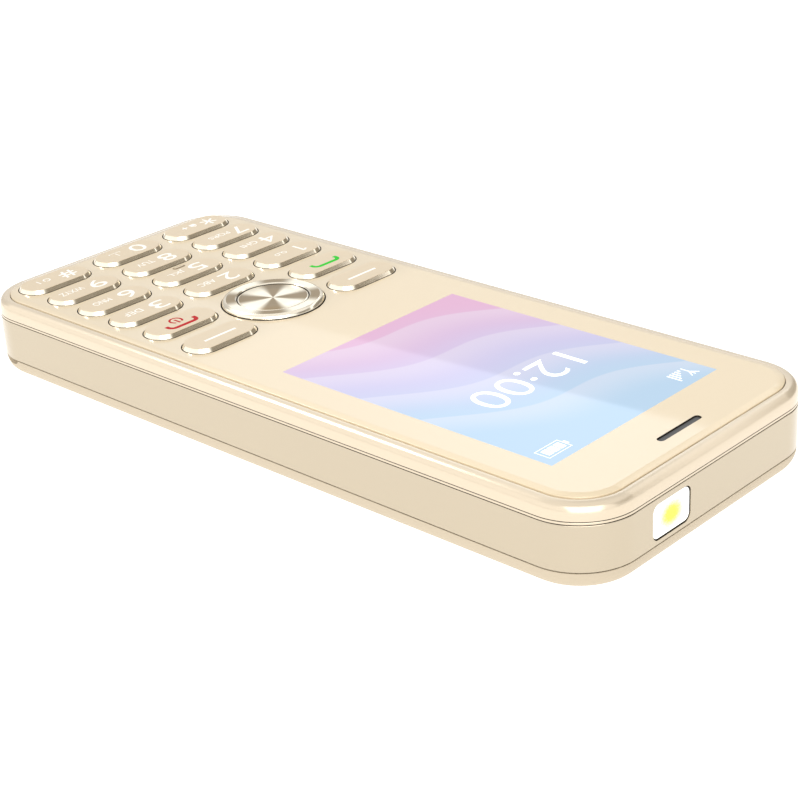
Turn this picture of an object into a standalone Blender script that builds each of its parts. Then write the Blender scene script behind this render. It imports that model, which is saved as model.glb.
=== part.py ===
"""Slim keypad phone: a handset built from separate shells, keys, boards and fittings.

Frame: millimetre values times MM give metres. +Z comes out of the screen, +Y points to the
earpiece end and +X to the user's right. The origin is under the middle of the back cover.
"""
import math

import bmesh
import bpy
from mathutils import Vector

MM = 0.001

# ---- driving dimensions -------------------------------------------------------------------
BODY_WIDTH = 52.3 * MM
BODY_LENGTH = 124.8 * MM
BODY_RADIUS = 8.8 * MM            # plan radius of the body's corners
SHOULDER_TOP_Z = 12.0 * MM        # inner edge of the bezel, beside the lens
SHOULDER_FULLNESS = 3.4           # exponent of the shoulder's section; 2 is an ellipse
COVER_SEAM_Z = 2.66 * MM          # seam between the back cover and the side band
BEZEL_SEAM_Z = 9.36 * MM          # seam between the side band and the front bezel
LENS_BOTTOM_Z = 11.5 * MM
LENS_TOP_Z = 12.4 * MM
LENS_INSET = 1.95 * MM            # lens edge, measured in from the body's outline
SEAM_GAP = 0.06 * MM              # half of the gap at each visible seam
WALL = 1.2 * MM                   # side band wall
COVER_WALL = 1.0 * MM
COVER_CURVE = 2.1 * MM            # how far the back cover's edge curves in

DECK_BOTTOM_Z = 10.5 * MM         # front housing plate that carries the lens
DECK_TOP_Z = 11.4 * MM
BOARD_BOTTOM_Z = 7.0 * MM
BOARD_TOP_Z = 7.8 * MM
BAY_FLOOR_Z = 6.3 * MM            # roof of the battery bay, seen from the front

DISPLAY_Y = (1.15 * MM, 50.11 * MM)      # active area of the 2.4 inch display

KEY_COLUMN = 15.3 * MM            # distance between the columns of keys
KEY_OPENING = (13.36 * MM, 6.43 * MM)
KEY_GAP = 0.16 * MM               # between a keycap and its opening
KEY_TOP_Z = 13.05 * MM
KEY_BOTTOM_Z = 9.95 * MM
KEY_FLANGE = 0.35 * MM            # how far the cap's flange reaches under the housing
KEY_FLANGE_TOP_Z = 10.35 * MM
KEY_BEVEL = 0.4 * MM
SOFT_ROW_Y = -15.56 * MM
CALL_ROW_Y = -24.43 * MM
NUMBER_ROW_Y = -32.66 * MM        # 1 2 3; the other number rows follow at NUMBER_PITCH
NUMBER_PITCH = 7.68 * MM

NAV_Y = -20.02 * MM
NAV_OPENING_R = 8.26 * MM
NAV_PIVOT = (0.0, NAV_Y, 9.7 * MM)       # the ring, its pad and the centre button move from here
NAV_TOP_Z = 13.15 * MM
NAV_RING_R = 8.08 * MM
NAV_FLANGE_R = 8.6 * MM
NAV_FLANGE_Z = (9.68 * MM, 10.14 * MM)   # leaves room above and below for the ring to rock
OK_RADIUS = 5.66 * MM
OK_OPENING_R = 5.86 * MM
OK_TOP_Z = 13.0 * MM

EARPIECE_Y = 56.64 * MM
EARPIECE_SLOT = (9.3 * MM, 1.15 * MM)
TORCH_X = 9.7 * MM
TORCH_Z = 5.93 * MM
TORCH_SIZE = (8.2 * MM, 5.2 * MM)
TORCH_RADIUS = 1.2 * MM

BATTERY_SIZE = (33.8 * MM, 53.0 * MM, 4.7 * MM)
BATTERY_Y = -22.4 * MM
BATTERY_BOTTOM_Z = 1.4 * MM

USB_X = 5.0 * MM
USB_OPENING = (8.0 * MM, 2.9 * MM)
JACK_X = -7.65 * MM
JACK_Z = 5.7 * MM
JACK_BORE_R = 1.85 * MM
SCREW_X = 20.6 * MM
SCREW_ROWS_Y = (-46.0 * MM, 6.0 * MM, 46.0 * MM)
LOUDSPEAKER_XY = (-9.5 * MM, 45.0 * MM)
LOUDSPEAKER_R = 7.0 * MM
MOTOR_XY = (12.0 * MM, 43.0 * MM)
MOTOR_R = 4.6 * MM

CORNER_STEPS = 7
STADIUM_STEPS = 3
ROUND_STEPS = 32

COLLECTION = "keypad_phone"
CUTTERS = "cutters"


# ---- scene set-up -------------------------------------------------------------------------
def clear_scene():
    for obj in list(bpy.data.objects):
        bpy.data.objects.remove(obj, do_unlink=True)


def collection(name):
    found = bpy.data.collections.get(name)
    if found is None:
        found = bpy.data.collections.new(name)
        bpy.context.scene.collection.children.link(found)
    return found


def material(name, colour, roughness, metallic=0.0, transmission=0.0):
    """One Principled material for one part; colour is linear RGB."""
    mat = bpy.data.materials.new(name)
    mat.use_nodes = True
    shader = mat.node_tree.nodes["Principled BSDF"]
    shader.inputs["Base Color"].default_value = (*colour, 1.0)
    shader.inputs["Roughness"].default_value = roughness
    shader.inputs["Metallic"].default_value = metallic
    shader.inputs["Transmission Weight"].default_value = transmission
    return mat


GOLD = (0.77, 0.64, 0.45)
PALE_GOLD = (0.86, 0.74, 0.56)
BLACK = (0.02, 0.02, 0.022)
STEEL = (0.55, 0.55, 0.54)
WHITE = (0.85, 0.85, 0.83)


# ---- outlines and solids ------------------------------------------------------------------
def rounded_rect(half_x, half_y, radius, centre=(0.0, 0.0), steps=CORNER_STEPS):
    """Counter-clockwise points of a rounded rectangle; repeated points are dropped."""
    points = []
    for quarter, (sx, sy) in enumerate(((1, 1), (-1, 1), (-1, -1), (1, -1))):
        cx = centre[0] + sx * (half_x - radius)
        cy = centre[1] + sy * (half_y - radius)
        for step in range(steps + 1):
            angle = (quarter + step / steps) * math.pi / 2
            point = (cx + radius * math.cos(angle), cy + radius * math.sin(angle))
            if not points or math.dist(point, points[-1]) > 1e-7:
                points.append(point)
    if math.dist(points[0], points[-1]) < 1e-7:
        points.pop()
    return points


def stadium(length, height, centre, grow=0.0):
    """A slot outline with round ends, grown outwards by grow."""
    half_x = length / 2 + grow
    half_y = height / 2 + grow
    return rounded_rect(half_x, half_y, half_y, centre, STADIUM_STEPS)


def circle(radius, centre, steps=ROUND_STEPS):
    return [(centre[0] + radius * math.cos(2 * math.pi * i / steps),
             centre[1] + radius * math.sin(2 * math.pi * i / steps)) for i in range(steps)]


def body_outline(inset):
    """The body's outline moved inwards by inset."""
    return rounded_rect(BODY_WIDTH / 2 - inset, BODY_LENGTH / 2 - inset, BODY_RADIUS - inset)


def add(name, bm, mat=None, cutter=False):
    """Turn a bmesh into a named object, outward faces, in the right collection."""
    bmesh.ops.recalc_face_normals(bm, faces=bm.faces)
    mesh = bpy.data.meshes.new(name)
    bm.to_mesh(mesh)
    bm.free()
    obj = bpy.data.objects.new(name, mesh)
    place(obj, mat, cutter)
    return obj


def place(obj, mat=None, cutter=False):
    collection(CUTTERS if cutter else COLLECTION).objects.link(obj)
    if cutter:
        obj.hide_render = True
        obj.display_type = "WIRE"
    elif mat is not None:
        obj.data.materials.append(mat)
        obj.data.set_sharp_from_angle(angle=math.radians(30))


def loft(name, rings, mat=None, closed=False, cutter=False):
    """Skin a stack of (outline, z) rings; closed joins the last ring to the first."""
    bm = bmesh.new()
    layers = [[bm.verts.new((x, y, z)) for x, y in outline] for outline, z in rings]
    following = layers[1:] + (layers[:1] if closed else [])
    for lower, upper in zip(layers, following):
        for i, corner in enumerate(lower):
            j = (i + 1) % len(lower)
            bm.faces.new((corner, lower[j], upper[j], upper[i]))
    if not closed:
        bm.faces.new(layers[0])
        bm.faces.new(layers[-1])
    return add(name, bm, mat, cutter)


def plate(name, outlines, low, high, mat=None, cutter=False):
    """A flat piece from 2D outlines; an outline inside another is a hole."""
    curve = bpy.data.curves.new(name, "CURVE")
    curve.dimensions = "2D"
    curve.fill_mode = "BOTH"
    curve.extrude = (high - low) / 2
    for outline in outlines:
        spline = curve.splines.new("POLY")
        spline.points.add(len(outline) - 1)
        for point, (x, y) in zip(spline.points, outline):
            point.co = (x, y, 0.0, 1.0)
        spline.use_cyclic_u = True
    guide = bpy.data.objects.new(name + "_outline", curve)
    bpy.context.scene.collection.objects.link(guide)
    bpy.context.view_layer.update()
    solid = bpy.data.meshes.new_from_object(guide.evaluated_get(bpy.context.evaluated_depsgraph_get()))
    bpy.data.objects.remove(guide, do_unlink=True)
    bm = bmesh.new()
    bm.from_mesh(solid)
    bpy.data.meshes.remove(solid)
    bmesh.ops.remove_doubles(bm, verts=bm.verts, dist=1e-7)
    bmesh.ops.translate(bm, verts=bm.verts, vec=(0.0, 0.0, (low + high) / 2))
    return add(name, bm, mat, cutter)


def box(name, low, high, mat=None, cutter=False):
    """A box between two corners."""
    bm = bmesh.new()
    bmesh.ops.create_cube(bm, size=1.0)
    bmesh.ops.scale(bm, verts=bm.verts, vec=[b - a for a, b in zip(low, high)])
    bmesh.ops.translate(bm, verts=bm.verts, vec=[(a + b) / 2 for a, b in zip(low, high)])
    return add(name, bm, mat, cutter)


def turned(name, centre, profile, mat=None, steps=ROUND_STEPS, cutter=False):
    """Turn an (r, z) profile, given top to bottom down its outer side, about Z at centre."""
    mesh = bpy.data.meshes.new(name)
    verts = [(r, 0.0, z) for r, z in profile]
    edges = [(i, i + 1) for i in range(len(verts) - 1)]
    if profile[0][0] > 0.0:
        edges.append((len(verts) - 1, 0))
    mesh.from_pydata(verts, edges, [])
    obj = bpy.data.objects.new(name, mesh)
    obj.location = (centre[0], centre[1], 0.0)
    place(obj, mat, cutter)
    screw = obj.modifiers.new("turn", "SCREW")
    screw.axis = "Z"
    screw.steps = steps
    screw.render_steps = steps
    screw.use_merge_vertices = True
    screw.merge_threshold = 1e-6
    return obj


def boolean(target, tool, operation):
    modifier = target.modifiers.new(tool.name, "BOOLEAN")
    modifier.operation = operation
    modifier.solver = "EXACT"
    modifier.object = tool


def cut(target, tool):
    boolean(target, tool, "DIFFERENCE")


def join(target, tool):
    boolean(target, tool, "UNION")


# ---- key layout ---------------------------------------------------------------------------
def key_layout():
    """Name and centre of each of the sixteen keys."""
    keys = {}
    for side, soft, call in ((-1, "key_soft_left", "key_call"), (1, "key_soft_right", "key_end")):
        keys[soft] = (side * KEY_COLUMN, SOFT_ROW_Y)
        keys[call] = (side * KEY_COLUMN, CALL_ROW_Y)
    rows = (("1", "2", "3"), ("4", "5", "6"), ("7", "8", "9"), ("star", "0", "hash"))
    for row, names in enumerate(rows):
        for column, label in enumerate(names):
            keys["key_" + label] = ((column - 1) * KEY_COLUMN, NUMBER_ROW_Y - row * NUMBER_PITCH)
    return keys


def key_outlines(grow=0.0):
    return [stadium(*KEY_OPENING, centre, grow) for centre in key_layout().values()]


# ---- outer shells -------------------------------------------------------------------------
def cover_curve(inset, reach, drop, top, steps=6):
    """A quarter ellipse of body outlines, from the rim at top down and inwards."""
    rings = []
    for step in range(steps + 1):
        angle = step / steps * math.pi / 2
        rings.append((body_outline(inset + reach * (1 - math.cos(angle))),
                      top - drop * math.sin(angle)))
    return rings


def back_cover():
    """Snap-off back cover: a tray with a curved edge, speaker slots and a nail notch."""
    rim_z = COVER_SEAM_Z - SEAM_GAP
    outer = cover_curve(0.0, COVER_CURVE, rim_z, rim_z)
    inner = cover_curve(COVER_WALL, COVER_CURVE - 0.5 * MM, rim_z - COVER_WALL, rim_z, steps=4)
    cover = loft("back_cover", outer[::-1] + inner, material("cover_gold", PALE_GOLD, 0.35))
    slots = []
    for row in range(5):
        centre = (LOUDSPEAKER_XY[0], LOUDSPEAKER_XY[1] + (row - 2) * 1.9 * MM)
        slots.append(stadium((9.0 - 1.6 * abs(row - 2)) * MM, 0.9 * MM, centre))
    cut(cover, plate("speaker_slots", slots, -1.0 * MM, 2.0 * MM, cutter=True))
    notch_low = (BODY_WIDTH / 2 - 1.3 * MM, -56.6 * MM, rim_z - 0.8 * MM)
    notch_high = (BODY_WIDTH / 2 + 1.0 * MM, -53.6 * MM, rim_z + 1.0 * MM)
    cut(cover, box("nail_notch", notch_low, notch_high, cutter=True))


def lugs(low_z, high_z, grow=0.0):
    """Corners of the six screw lugs that stand in from the side band."""
    for side in (-1, 1):
        for y in SCREW_ROWS_Y:
            inner = side * (SCREW_X - 1.9 * MM - grow)
            outer = side * (BODY_WIDTH / 2 - WALL + 0.4 * MM)
            yield ((min(inner, outer), y - 2.2 * MM - grow, low_z),
                   (max(inner, outer), y + 2.2 * MM + grow, high_z))


def boxes(name, corners, mat=None, cutter=False):
    """Several separate boxes in one mesh, used to cut or to join."""
    bm = bmesh.new()
    for low, high in corners:
        made = bmesh.ops.create_cube(bm, size=1.0)["verts"]
        bmesh.ops.scale(bm, verts=made, vec=[b - a for a, b in zip(low, high)])
        bmesh.ops.translate(bm, verts=made, vec=[(a + b) / 2 for a, b in zip(low, high)])
    return add(name, bm, mat, cutter)


def screw_positions():
    return [(side * SCREW_X, y) for side in (-1, 1) for y in SCREW_ROWS_Y]


def mid_frame():
    """Side band: a closed wall with screw lugs, the torch window and the two sockets' openings."""
    low = COVER_SEAM_Z + SEAM_GAP
    high = BEZEL_SEAM_Z - SEAM_GAP
    rings = [(body_outline(0.0), low), (body_outline(0.0), high),
             (body_outline(WALL), high), (body_outline(WALL), low)]
    band = loft("mid_frame", rings, material("band_gold", GOLD, 0.22, metallic=0.35), closed=True)
    join(band, boxes("lug_blocks", lugs(4.4 * MM, 6.7 * MM), cutter=True))
    holes = [circle(0.85 * MM, centre, 12) for centre in screw_positions()]
    cut(band, plate("lug_holes", holes, 4.0 * MM, 6.5 * MM, cutter=True))
    window = end_plate("torch_window", TORCH_X, TORCH_Z, TORCH_SIZE, TORCH_RADIUS, 0.0, 1, cutter=True)
    cut(band, window)
    usb = end_plate("usb_window", USB_X, 5.7 * MM, USB_OPENING, 0.6 * MM, 0.0, -1, cutter=True)
    cut(band, usb)
    jack = end_plate("jack_window", JACK_X, JACK_Z, (5.4 * MM, 5.4 * MM), 2.69 * MM, 0.0, -1, cutter=True)
    cut(band, jack)
    mic = end_plate("mic_hole", 15.0 * MM, 5.7 * MM, (1.0 * MM, 1.0 * MM), 0.49 * MM, 0.0, -1, cutter=True)
    cut(band, mic)


def end_plate(name, x, z, size, radius, grow, end, depth=(57.0 * MM, 66.0 * MM), mat=None, cutter=False):
    """A rounded block standing in the XZ plane, between two depths at one end of the body."""
    outline = rounded_rect(size[0] / 2 + grow, size[1] / 2 + grow, radius + grow, steps=4)
    bm = bmesh.new()
    layers = []
    for y in sorted(end * d for d in depth):
        layers.append([bm.verts.new((x + u, y, z + v)) for u, v in outline])
    for i in range(len(outline)):
        j = (i + 1) % len(outline)
        bm.faces.new((layers[0][i], layers[0][j], layers[1][j], layers[1][i]))
    bm.faces.new(layers[0])
    bm.faces.new(layers[1])
    return add(name, bm, mat, cutter)


def front_housing():
    """Bezel with its convex shoulder, lens pocket, deck with openings and a locating skirt."""
    low = BEZEL_SEAM_Z + SEAM_GAP
    shoulder_inset = LENS_INSET - 0.14 * MM
    steps = 7
    power = 2 / SHOULDER_FULLNESS
    shoulder = []
    for step in range(steps + 1):
        angle = step / steps * math.pi / 2
        across = math.sin(angle) ** power
        up = max(0.0, math.cos(angle)) ** power
        shoulder.append((body_outline(shoulder_inset * (1 - across)), low + (SHOULDER_TOP_Z - low) * up))
    rings = [(body_outline(shoulder_inset), DECK_TOP_Z)] + shoulder
    rings += [(body_outline(1.35 * MM), low), (body_outline(1.35 * MM), 8.5 * MM),
              (body_outline(2.1 * MM), 8.5 * MM), (body_outline(2.1 * MM), DECK_BOTTOM_Z)]
    housing = loft("front_housing", rings, material("bezel_gold", PALE_GOLD, 0.12))
    middle_y = sum(DISPLAY_Y) / 2
    openings = key_outlines(0.08 * MM)
    openings.append(circle(NAV_OPENING_R + 0.1 * MM, (0.0, NAV_Y)))
    openings.append(rounded_rect(20.4 * MM, 27.6 * MM, 0.5 * MM, (0.0, middle_y), 2))
    openings.append(stadium(*EARPIECE_SLOT, (0.0, EARPIECE_Y), 0.3 * MM))
    cut(housing, plate("deck_openings", openings, 10.0 * MM, 11.9 * MM, cutter=True))
    relief_low = (TORCH_X - 5.0 * MM, 59.5 * MM, 8.0 * MM)
    relief_high = (TORCH_X + 5.0 * MM, 61.3 * MM, 9.3 * MM)
    cut(housing, box("torch_relief", relief_low, relief_high, cutter=True))


def faceplate_lens():
    """Full-face lens with openings for the keys, the navigation ring and the earpiece."""
    outlines = [body_outline(LENS_INSET), circle(NAV_OPENING_R, (0.0, NAV_Y)),
                stadium(*EARPIECE_SLOT, (0.0, EARPIECE_Y))] + key_outlines()
    plate("faceplate_lens", outlines, LENS_BOTTOM_Z, LENS_TOP_Z, material("lens_gold", GOLD, 0.06))


def rear_frame():
    """Chassis behind the board: battery bay, card windows, sound chamber and screw seats."""
    rings = [(body_outline(3.9 * MM), 1.35 * MM), (body_outline(3.9 * MM), 2.85 * MM),
             (body_outline(1.5 * MM), 2.85 * MM), (body_outline(1.5 * MM), 6.7 * MM)]
    frame = loft("rear_frame", rings, material("frame_black", BLACK, 0.5))
    half = [size / 2 + 0.5 * MM for size in BATTERY_SIZE[:2]]
    pockets = [((-half[0], BATTERY_Y - half[1], 0.0), (half[0], BATTERY_Y + half[1], BAY_FLOOR_Z)),
               ((-6.4 * MM, 4.5 * MM, 0.0), (6.4 * MM, 9.6 * MM, 8.0 * MM)),
               ((-20.4 * MM, 11.6 * MM, 0.0), (-2.6 * MM, 30.4 * MM, 8.0 * MM)),
               ((2.6 * MM, 11.6 * MM, 0.0), (18.4 * MM, 27.4 * MM, 8.0 * MM)),
               ((4.4 * MM, 54.0 * MM, 0.0), (15.0 * MM, 62.0 * MM, 8.0 * MM)),
               ((0.6 * MM, -62.0 * MM, 4.0 * MM), (9.4 * MM, -54.6 * MM, 8.0 * MM)),
               ((-11.6 * MM, -62.0 * MM, 2.9 * MM), (-3.7 * MM, -49.6 * MM, 8.0 * MM)),
               ((12.6 * MM, -62.0 * MM, 4.8 * MM), (17.4 * MM, -54.0 * MM, 8.0 * MM)),
               ((3.6 * MM, 30.6 * MM, 5.0 * MM), (18.4 * MM, 36.4 * MM, 8.0 * MM))]
    for number, (low, high) in enumerate(pockets, start=1):
        cut(frame, box("frame_pocket_" + str(number), low, high, cutter=True))
    cut(frame, boxes("lug_pockets", lugs(4.2 * MM, 7.2 * MM, 0.3 * MM), cutter=True))
    seats = [circle(1.65 * MM, centre, 12) for centre in screw_positions()]
    cut(frame, plate("screw_seats", seats, 0.5 * MM, 3.3 * MM, cutter=True))
    shanks = [circle(0.95 * MM, centre, 12) for centre in screw_positions()]
    cut(frame, plate("screw_holes", shanks, 3.0 * MM, 4.5 * MM, cutter=True))
    rounds = [circle(radius + 0.4 * MM, centre, 24)
              for radius, centre in ((LOUDSPEAKER_R, LOUDSPEAKER_XY), (MOTOR_R, MOTOR_XY))]
    cut(frame, plate("round_pockets", rounds, 0.5 * MM, 8.0 * MM, cutter=True))
    seat = (-20.5 * MM, 53.6 * MM, 0.5 * MM), (3.5 * MM, 58.0 * MM, 1.85 * MM)
    cut(frame, box("antenna_seat", *seat, cutter=True))


# ---- keys ---------------------------------------------------------------------------------
def keycap(name, centre, mat):
    """A flanged cap with a bevelled top edge; its origin is on its travel axis."""
    def ring(grow, z):
        return stadium(*KEY_OPENING, centre, grow), z
    rings = [ring(KEY_FLANGE, KEY_BOTTOM_Z), ring(KEY_FLANGE, KEY_FLANGE_TOP_Z),
             ring(-KEY_GAP, KEY_FLANGE_TOP_Z), ring(-KEY_GAP, KEY_TOP_Z - 0.85 * KEY_BEVEL),
             ring(-KEY_GAP - 0.75 * KEY_BEVEL, KEY_TOP_Z - 0.15 * KEY_BEVEL),
             ring(-KEY_GAP - 1.15 * KEY_BEVEL, KEY_TOP_Z)]
    cap = loft(name, rings, mat)
    offset_origin(cap, (centre[0], centre[1], KEY_BOTTOM_Z))


def offset_origin(obj, point):
    """Move an object's origin to a point without moving its surface."""
    shift = Vector(point) - obj.location
    for vertex in obj.data.vertices:
        vertex.co -= shift
    obj.location = point


def keys():
    """The sixteen keycaps."""
    mat = material("keycap_gold", GOLD, 0.25)
    for name, centre in key_layout().items():
        keycap(name, centre, mat)


def nav_ring():
    """Turned four-way ring with a polished rim; it rocks on the pad below it."""
    profile = [(OK_OPENING_R + 0.15 * MM, NAV_TOP_Z), (NAV_RING_R - 0.4 * MM, NAV_TOP_Z),
               (NAV_RING_R, NAV_TOP_Z - 0.4 * MM), (NAV_RING_R, NAV_FLANGE_Z[1]),
               (NAV_FLANGE_R, NAV_FLANGE_Z[1]), (NAV_FLANGE_R, NAV_FLANGE_Z[0]),
               (6.8 * MM, NAV_FLANGE_Z[0]), (6.8 * MM, 10.7 * MM),
               (OK_OPENING_R, 10.7 * MM), (OK_OPENING_R, NAV_TOP_Z - 0.15 * MM)]
    ring = turned("nav_ring", (0.0, NAV_Y), profile, material("ring_metal", GOLD, 0.2, metallic=0.9))
    offset_origin(ring, NAV_PIVOT)


def nav_pad():
    """Silicone foot of the navigation ring."""
    profile = [(6.9 * MM, 9.4 * MM), (8.5 * MM, 9.4 * MM), (8.5 * MM, 9.1 * MM), (6.9 * MM, 9.1 * MM)]
    pad = turned("nav_pad", (0.0, NAV_Y), profile, material("pad_silicone", (0.5, 0.5, 0.5), 0.6))
    offset_origin(pad, NAV_PIVOT)


def ok_button():
    """Centre button with a dished top."""
    profile = [(0.0, OK_TOP_Z - 0.1 * MM), (OK_RADIUS - 1.0 * MM, OK_TOP_Z - 0.04 * MM),
               (OK_RADIUS - 0.2 * MM, OK_TOP_Z), (OK_RADIUS, OK_TOP_Z - 0.2 * MM),
               (OK_RADIUS, 10.3 * MM), (6.4 * MM, 10.3 * MM), (6.4 * MM, KEY_BOTTOM_Z), (0.0, KEY_BOTTOM_Z)]
    button = turned("ok_button", (0.0, NAV_Y), profile, material("ok_metal", GOLD, 0.2, metallic=0.9))
    offset_origin(button, NAV_PIVOT)


# ---- keypad electronics -------------------------------------------------------------------
def keypad_membrane():
    """Silicone sheet with one raised pad under each key and under the centre button."""
    sheet = [rounded_rect(23.2 * MM, 24.8 * MM, 6.5 * MM, (0.0, -35.0 * MM), 5)]
    silicone = material("membrane_silicone", (0.6, 0.6, 0.58), 0.6)
    web = plate("keypad_membrane", sheet, 8.35 * MM, 8.8 * MM, silicone)
    pads = key_outlines(-0.9 * MM) + [circle(4.6 * MM, (0.0, NAV_Y), 24)]
    join(web, plate("membrane_pads", pads, 8.5 * MM, 9.45 * MM, cutter=True))


def dome_sheet():
    """Film over the board with a raised contact dome for each key and for the ring's four sides."""
    sheet = [rounded_rect(22.8 * MM, 24.4 * MM, 6.1 * MM, (0.0, -35.0 * MM), 5)]
    domes = [circle(1.9 * MM, centre, 8) for centre in key_layout().values()]
    domes.append(circle(1.9 * MM, (0.0, NAV_Y), 8))
    domes += [circle(1.3 * MM, (7.0 * MM * math.cos(a), NAV_Y + 7.0 * MM * math.sin(a)), 8)
              for a in (0.0, math.pi / 2, math.pi, 1.5 * math.pi)]
    steel = material("dome_film", STEEL, 0.3, metallic=0.8)
    film = plate("keypad_dome_sheet", sheet, 7.85 * MM, 8.0 * MM, steel)
    join(film, plate("contact_domes", domes, 7.9 * MM, 8.25 * MM, cutter=True))
    gap = (JACK_X - 3.5 * MM, -62.0 * MM, 7.0 * MM), (JACK_X + 3.5 * MM, -50.0 * MM, 9.0 * MM)
    cut(film, box("jack_gap", *gap, cutter=True))


def main_board():
    """Circuit board with a notch for the headset socket."""
    board = plate("main_board", [body_outline(2.0 * MM)], BOARD_BOTTOM_Z, BOARD_TOP_Z,
                  material("board_green", (0.02, 0.16, 0.07), 0.4))
    notches = [((JACK_X - 3.6 * MM, -64.0 * MM, 6.0 * MM), (JACK_X + 3.6 * MM, -49.8 * MM, 9.0 * MM)),
               ((4.2 * MM, 58.6 * MM, 6.0 * MM), (15.2 * MM, 64.0 * MM, 9.0 * MM))]
    cut(board, boxes("board_notches", notches, cutter=True))


def display():
    """Panel and the metal tray that holds its backlight."""
    middle_y = sum(DISPLAY_Y) / 2
    centre = (0.0, middle_y)
    tray_rings = [(rounded_rect(21.0 * MM, 28.2 * MM, 0.9 * MM, centre, 3), 8.2 * MM),
                  (rounded_rect(21.0 * MM, 28.2 * MM, 0.9 * MM, centre, 3), 10.3 * MM),
                  (rounded_rect(20.4 * MM, 27.6 * MM, 0.5 * MM, centre, 3), 10.3 * MM),
                  (rounded_rect(20.4 * MM, 27.6 * MM, 0.5 * MM, centre, 3), 8.8 * MM)]
    loft("display_tray", tray_rings, material("tray_steel", STEEL, 0.35, metallic=0.9))
    panel = [rounded_rect(20.1 * MM, 27.3 * MM, 0.5 * MM, centre, 3)]
    plate("display_panel", panel, 8.95 * MM, 11.3 * MM, material("panel_glass", (0.1, 0.12, 0.3), 0.05))


def earpiece():
    """Receiver under the earpiece slot and its grille in the lens."""
    grille = [stadium(EARPIECE_SLOT[0], EARPIECE_SLOT[1], (0.0, EARPIECE_Y), -0.12 * MM)]
    grey = material("grille_grey", (0.08, 0.08, 0.08), 0.5)
    plate("earpiece_grille", grille, 11.55 * MM, 12.2 * MM, grey)
    receiver = [rounded_rect(5.2 * MM, 2.4 * MM, 1.0 * MM, (0.0, 56.9 * MM), 3)]
    can = material("receiver_grey", STEEL, 0.4, metallic=0.6)
    plate("earpiece_receiver", receiver, 8.2 * MM, 10.3 * MM, can)


# ---- parts behind the board ---------------------------------------------------------------
def battery():
    """Removable pack with rounded edges and three contact pads let into its end."""
    half_x, half_y, height = BATTERY_SIZE[0] / 2, BATTERY_SIZE[1] / 2, BATTERY_SIZE[2]
    def ring(inset, z):
        return rounded_rect(half_x - inset, half_y - inset, 1.2 * MM - inset, (0.0, BATTERY_Y), 3), z
    top = BATTERY_BOTTOM_Z + height
    rings = [ring(0.5 * MM, BATTERY_BOTTOM_Z), ring(0.0, BATTERY_BOTTOM_Z + 0.5 * MM),
             ring(0.0, top - 0.5 * MM), ring(0.5 * MM, top)]
    pack = loft("battery", rings, material("battery_wrap", (0.06, 0.07, 0.08), 0.35))
    end = BATTERY_Y + half_y
    pads = [((x - 1.1 * MM, end - 0.3 * MM, top - 3.2 * MM), (x + 1.1 * MM, end + 0.3 * MM, top - 1.4 * MM))
            for x in (-4.0 * MM, 0.0, 4.0 * MM)]
    cut(pack, boxes("battery_pads", pads, cutter=True))


def battery_contacts():
    """Connector block with three spring fingers that point at the battery's pads."""
    block = box("battery_contacts", (-6.0 * MM, 5.7 * MM, 3.2 * MM), (6.0 * MM, 9.2 * MM, 6.85 * MM),
                material("contact_block", BLACK, 0.5))
    fingers = [((x - 0.5 * MM, 4.55 * MM, 3.9 * MM), (x + 0.5 * MM, 6.2 * MM, 4.5 * MM))
               for x in (-4.0 * MM, 0.0, 4.0 * MM)]
    join(block, boxes("contact_fingers", fingers, cutter=True))


def card_holders():
    """Metal cages for the SIM card and the memory card, each open on one side."""
    steel = material("cage_steel", STEEL, 0.3, metallic=0.9)
    sim_cage = (-20.0 * MM, 12.0 * MM, 5.2 * MM), (-3.0 * MM, 30.0 * MM, 6.85 * MM)
    sim = box("sim_holder", *sim_cage, steel)
    sim_slot = (-19.2 * MM, 11.0 * MM, 5.7 * MM), (-3.8 * MM, 29.0 * MM, 6.5 * MM)
    cut(sim, box("sim_slot", *sim_slot, cutter=True))
    card_cage = (3.0 * MM, 12.0 * MM, 5.2 * MM), (18.0 * MM, 27.0 * MM, 6.85 * MM)
    card = box("memory_card_holder", *card_cage, steel)
    card_slot = (4.9 * MM, 11.0 * MM, 5.7 * MM), (16.1 * MM, 26.0 * MM, 6.5 * MM)
    cut(card, box("card_slot", *card_slot, cutter=True))
    can = ((4.0 * MM, 31.0 * MM, 5.4 * MM), (18.0 * MM, 36.0 * MM, 6.85 * MM))
    box("shield_can", *can, steel)


def sound_parts():
    """Loudspeaker behind the slots, coin vibration motor and microphone."""
    r = LOUDSPEAKER_R
    speaker = [(0.0, 6.4 * MM), (r - 1.2 * MM, 6.4 * MM), (r, 5.6 * MM), (r, 2.6 * MM),
               (r - 0.7 * MM, 2.2 * MM), (r - 1.4 * MM, 2.2 * MM), (r - 2.6 * MM, 2.7 * MM),
               (0.0, 2.4 * MM)]
    turned("loudspeaker", LOUDSPEAKER_XY, speaker, material("speaker_black", BLACK, 0.45), steps=24)
    motor = [(0.0, 6.6 * MM), (MOTOR_R - 0.3 * MM, 6.6 * MM), (MOTOR_R, 6.3 * MM), (MOTOR_R, 4.0 * MM),
             (MOTOR_R - 0.3 * MM, 3.7 * MM), (0.0, 3.7 * MM)]
    turned("vibration_motor", MOTOR_XY, motor, material("motor_steel", STEEL, 0.25, metallic=0.9), steps=24)
    microphone = [(0.0, 6.85 * MM), (1.9 * MM, 6.85 * MM), (1.9 * MM, 5.3 * MM), (0.0, 5.3 * MM)]
    mic_steel = material("mic_steel", STEEL, 0.3, metallic=0.9)
    turned("microphone", (15.0 * MM, -57.4 * MM), microphone, mic_steel, steps=12)


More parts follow.
